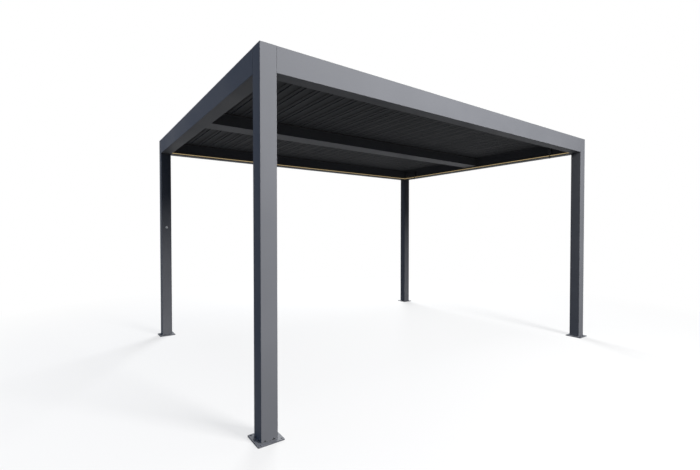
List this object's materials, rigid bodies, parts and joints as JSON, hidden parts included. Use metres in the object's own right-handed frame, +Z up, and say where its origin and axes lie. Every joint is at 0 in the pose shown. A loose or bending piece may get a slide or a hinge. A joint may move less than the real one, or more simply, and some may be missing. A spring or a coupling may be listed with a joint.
{
  "type": "louvred pergola",
  "caption": "Free-standing aluminium pergola: square posts on bolted foot plates, a beam frame and a two-bay roof of tilting louvre blades.",
  "frame": {"origin": "centre of the plan at ground level, under the foot plates", "axes": "+X along the long side towards the crank side, +Y to the back, +Z up"},
  "size_m": [4.06, 3.06, 2.3],
  "materials": {
    "frame_coat": "satin powder coat, anthracite grey",
    "louvre_coat": "satin powder coat, anthracite grey",
    "rail_plastic": "matt black",
    "gearbox_dark": "satin black",
    "light_diffuser": "milky warm diffuser",
    "clip_plastic": "pale grey moulding"
  },
  "bodies": {
    "frame": {"foot_plate_front_left": "frame_coat", "foot_plate_front_right": "frame_coat", "foot_plate_back_left": "frame_coat", "foot_plate_back_right": "frame_coat", "post_front_left": "frame_coat", "post_front_right": "frame_coat", "post_back_left": "frame_coat", "post_back_right": "frame_coat", "post_caps": "frame_coat", "beam_front": "frame_coat", "beam_back": "frame_coat", "beam_left": "frame_coat", "beam_right": "frame_coat", "beam_middle": "frame_coat", "pivot_rail_front": "rail_plastic", "pivot_rail_middle_front": "rail_plastic", "pivot_rail_middle_back": "rail_plastic", "pivot_rail_back": "rail_plastic", "edge_strip_left": "louvre_coat", "edge_strip_right": "louvre_coat", "light_strips": "light_diffuser", "gearbox_front": "gearbox_dark", "gearbox_back": "gearbox_dark", "post_clip": "clip_plastic"},
    "blades_01": {"louvres_01": "louvre_coat"},
    "blades_02": {"louvres_02": "louvre_coat"},
    "blades_03": {"louvres_03": "louvre_coat"},
    "blades_04": {"louvres_04": "louvre_coat"},
    "blades_05": {"louvres_05": "louvre_coat"},
    "blades_06": {"louvres_06": "louvre_coat"},
    "blades_07": {"louvres_07": "louvre_coat"},
    "blades_08": {"louvres_08": "louvre_coat"},
    "blades_09": {"louvres_09": "louvre_coat"},
    "blades_10": {"louvres_10": "louvre_coat"},
    "blades_11": {"louvres_11": "louvre_coat"},
    "blades_12": {"louvres_12": "louvre_coat"},
    "blades_13": {"louvres_13": "louvre_coat"},
    "blades_14": {"louvres_14": "louvre_coat"},
    "blades_15": {"louvres_15": "louvre_coat"},
    "blades_16": {"louvres_16": "louvre_coat"},
    "blades_17": {"louvres_17": "louvre_coat"},
    "blades_18": {"louvres_18": "louvre_coat"},
    "blades_19": {"louvres_19": "louvre_coat"},
    "blades_20": {"louvres_20": "louvre_coat"},
    "blades_21": {"louvres_21": "louvre_coat"},
    "blades_22": {"louvres_22": "louvre_coat"},
    "blades_23": {"louvres_23": "louvre_coat"},
    "blades_24": {"louvres_24": "louvre_coat"},
    "blades_25": {"louvres_25": "louvre_coat"},
    "blades_26": {"louvres_26": "louvre_coat"},
    "blades_27": {"louvres_27": "louvre_coat"},
    "blades_28": {"louvres_28": "louvre_coat"},
    "blades_29": {"louvres_29": "louvre_coat"},
    "blades_30": {"louvres_30": "louvre_coat"},
    "blades_31": {"louvres_31": "louvre_coat"}
  },
  "joints": [
    {"name": "louvres_tilt", "type": "hinge", "parent": "frame", "child": "blades_01", "pos_m": [-1.7565, 0, 2.291], "axis": [0, 1, 0], "range_deg": [0, 90]},
    {"name": "louvres_tilt_02", "type": "hinge", "parent": "frame", "child": "blades_02", "pos_m": [-1.6385, 0, 2.291], "axis": [0, 1, 0], "range_deg": [0, 90]},
    {"name": "louvres_tilt_03", "type": "hinge", "parent": "frame", "child": "blades_03", "pos_m": [-1.5205, 0, 2.291], "axis": [0, 1, 0], "range_deg": [0, 90]},
    {"name": "louvres_tilt_04", "type": "hinge", "parent": "frame", "child": "blades_04", "pos_m": [-1.4025, 0, 2.291], "axis": [0, 1, 0], "range_deg": [0, 90]},
    {"name": "louvres_tilt_05", "type": "hinge", "parent": "frame", "child": "blades_05", "pos_m": [-1.2845, 0, 2.291], "axis": [0, 1, 0], "range_deg": [0, 90]},
    {"name": "louvres_tilt_06", "type": "hinge", "parent": "frame", "child": "blades_06", "pos_m": [-1.1665, 0, 2.291], "axis": [0, 1, 0], "range_deg": [0, 90]},
    {"name": "louvres_tilt_07", "type": "hinge", "parent": "frame", "child": "blades_07", "pos_m": [-1.0485, 0, 2.291], "axis": [0, 1, 0], "range_deg": [0, 90]},
    {"name": "louvres_tilt_08", "type": "hinge", "parent": "frame", "child": "blades_08", "pos_m": [-0.9305, 0, 2.291], "axis": [0, 1, 0], "range_deg": [0, 90]},
    {"name": "louvres_tilt_09", "type": "hinge", "parent": "frame", "child": "blades_09", "pos_m": [-0.8125, 0, 2.291], "axis": [0, 1, 0], "range_deg": [0, 90]},
    {"name": "louvres_tilt_10", "type": "hinge", "parent": "frame", "child": "blades_10", "pos_m": [-0.6945, 0, 2.291], "axis": [0, 1, 0], "range_deg": [0, 90]},
    {"name": "louvres_tilt_11", "type": "hinge", "parent": "frame", "child": "blades_11", "pos_m": [-0.5765, 0, 2.291], "axis": [0, 1, 0], "range_deg": [0, 90]},
    {"name": "louvres_tilt_12", "type": "hinge", "parent": "frame", "child": "blades_12", "pos_m": [-0.4585, 0, 2.291], "axis": [0, 1, 0], "range_deg": [0, 90]},
    {"name": "louvres_tilt_13", "type": "hinge", "parent": "frame", "child": "blades_13", "pos_m": [-0.3405, 0, 2.291], "axis": [0, 1, 0], "range_deg": [0, 90]},
    {"name": "louvres_tilt_14", "type": "hinge", "parent": "frame", "child": "blades_14", "pos_m": [-0.2225, 0, 2.291], "axis": [0, 1, 0], "range_deg": [0, 90]},
    {"name": "louvres_tilt_15", "type": "hinge", "parent": "frame", "child": "blades_15", "pos_m": [-0.1045, 0, 2.291], "axis": [0, 1, 0], "range_deg": [0, 90]},
    {"name": "louvres_tilt_16", "type": "hinge", "parent": "frame", "child": "blades_16", "pos_m": [0.0135, 0, 2.291], "axis": [0, 1, 0], "range_deg": [0, 90]},
    {"name": "louvres_tilt_17", "type": "hinge", "parent": "frame", "child": "blades_17", "pos_m": [0.1315, 0, 2.291], "axis": [0, 1, 0], "range_deg": [0, 90]},
    {"name": "louvres_tilt_18", "type": "hinge", "parent": "frame", "child": "blades_18", "pos_m": [0.2495, 0, 2.291], "axis": [0, 1, 0], "range_deg": [0, 90]},
    {"name": "louvres_tilt_19", "type": "hinge", "parent": "frame", "child": "blades_19", "pos_m": [0.3675, 0, 2.291], "axis": [0, 1, 0], "range_deg": [0, 90]},
    {"name": "louvres_tilt_20", "type": "hinge", "parent": "frame", "child": "blades_20", "pos_m": [0.4855, 0, 2.291], "axis": [0, 1, 0], "range_deg": [0, 90]},
    {"name": "louvres_tilt_21", "type": "hinge", "parent": "frame", "child": "blades_21", "pos_m": [0.6035, 0, 2.291], "axis": [0, 1, 0], "range_deg": [0, 90]},
    {"name": "louvres_tilt_22", "type": "hinge", "parent": "frame", "child": "blades_22", "pos_m": [0.7215, 0, 2.291], "axis": [0, 1, 0], "range_deg": [0, 90]},
    {"name": "louvres_tilt_23", "type": "hinge", "parent": "frame", "child": "blades_23", "pos_m": [0.8395, 0, 2.291], "axis": [0, 1, 0], "range_deg": [0, 90]},
    {"name": "louvres_tilt_24", "type": "hinge", "parent": "frame", "child": "blades_24", "pos_m": [0.9575, 0, 2.291], "axis": [0, 1, 0], "range_deg": [0, 90]},
    {"name": "louvres_tilt_25", "type": "hinge", "parent": "frame", "child": "blades_25", "pos_m": [1.0755, 0, 2.291], "axis": [0, 1, 0], "range_deg": [0, 90]},
    {"name": "louvres_tilt_26", "type": "hinge", "parent": "frame", "child": "blades_26", "pos_m": [1.1935, 0, 2.291], "axis": [0, 1, 0], "range_deg": [0, 90]},
    {"name": "louvres_tilt_27", "type": "hinge", "parent": "frame", "child": "blades_27", "pos_m": [1.3115, 0, 2.291], "axis": [0, 1, 0], "range_deg": [0, 90]},
    {"name": "louvres_tilt_28", "type": "hinge", "parent": "frame", "child": "blades_28", "pos_m": [1.4295, 0, 2.291], "axis": [0, 1, 0], "range_deg": [0, 90]},
    {"name": "louvres_tilt_29", "type": "hinge", "parent": "frame", "child": "blades_29", "pos_m": [1.5475, 0, 2.291], "axis": [0, 1, 0], "range_deg": [0, 90]},
    {"name": "louvres_tilt_30", "type": "hinge", "parent": "frame", "child": "blades_30", "pos_m": [1.6655, 0, 2.291], "axis": [0, 1, 0], "range_deg": [0, 90]},
    {"name": "louvres_tilt_31", "type": "hinge", "parent": "frame", "child": "blades_31", "pos_m": [1.7835, 0, 2.291], "axis": [0, 1, 0], "range_deg": [0, 90]}
  ],
  "couplings": [
    {"joint": "louvres_tilt_02", "follows": "louvres_tilt", "ratio": 1},
    {"joint": "louvres_tilt_03", "follows": "louvres_tilt", "ratio": 1},
    {"joint": "louvres_tilt_04", "follows": "louvres_tilt", "ratio": 1},
    {"joint": "louvres_tilt_05", "follows": "louvres_tilt", "ratio": 1},
    {"joint": "louvres_tilt_06", "follows": "louvres_tilt", "ratio": 1},
    {"joint": "louvres_tilt_07", "follows": "louvres_tilt", "ratio": 1},
    {"joint": "louvres_tilt_08", "follows": "louvres_tilt", "ratio": 1},
    {"joint": "louvres_tilt_09", "follows": "louvres_tilt", "ratio": 1},
    {"joint": "louvres_tilt_10", "follows": "louvres_tilt", "ratio": 1},
    {"joint": "louvres_tilt_11", "follows": "louvres_tilt", "ratio": 1},
    {"joint": "louvres_tilt_12", "follows": "louvres_tilt", "ratio": 1},
    {"joint": "louvres_tilt_13", "follows": "louvres_tilt", "ratio": 1},
    {"joint": "louvres_tilt_14", "follows": "louvres_tilt", "ratio": 1},
    {"joint": "louvres_tilt_15", "follows": "louvres_tilt", "ratio": 1},
    {"joint": "louvres_tilt_16", "follows": "louvres_tilt", "ratio": 1},
    {"joint": "louvres_tilt_17", "follows": "louvres_tilt", "ratio": 1},
    {"joint": "louvres_tilt_18", "follows": "louvres_tilt", "ratio": 1},
    {"joint": "louvres_tilt_19", "follows": "louvres_tilt", "ratio": 1},
    {"joint": "louvres_tilt_20", "follows": "louvres_tilt", "ratio": 1},
    {"joint": "louvres_tilt_21", "follows": "louvres_tilt", "ratio": 1},
    {"joint": "louvres_tilt_22", "follows": "louvres_tilt", "ratio": 1},
    {"joint": "louvres_tilt_23", "follows": "louvres_tilt", "ratio": 1},
    {"joint": "louvres_tilt_24", "follows": "louvres_tilt", "ratio": 1},
    {"joint": "louvres_tilt_25", "follows": "louvres_tilt", "ratio": 1},
    {"joint": "louvres_tilt_26", "follows": "louvres_tilt", "ratio": 1},
    {"joint": "louvres_tilt_27", "follows": "louvres_tilt", "ratio": 1},
    {"joint": "louvres_tilt_28", "follows": "louvres_tilt", "ratio": 1},
    {"joint": "louvres_tilt_29", "follows": "louvres_tilt", "ratio": 1},
    {"joint": "louvres_tilt_30", "follows": "louvres_tilt", "ratio": 1},
    {"joint": "louvres_tilt_31", "follows": "louvres_tilt", "ratio": 1}
  ]
}
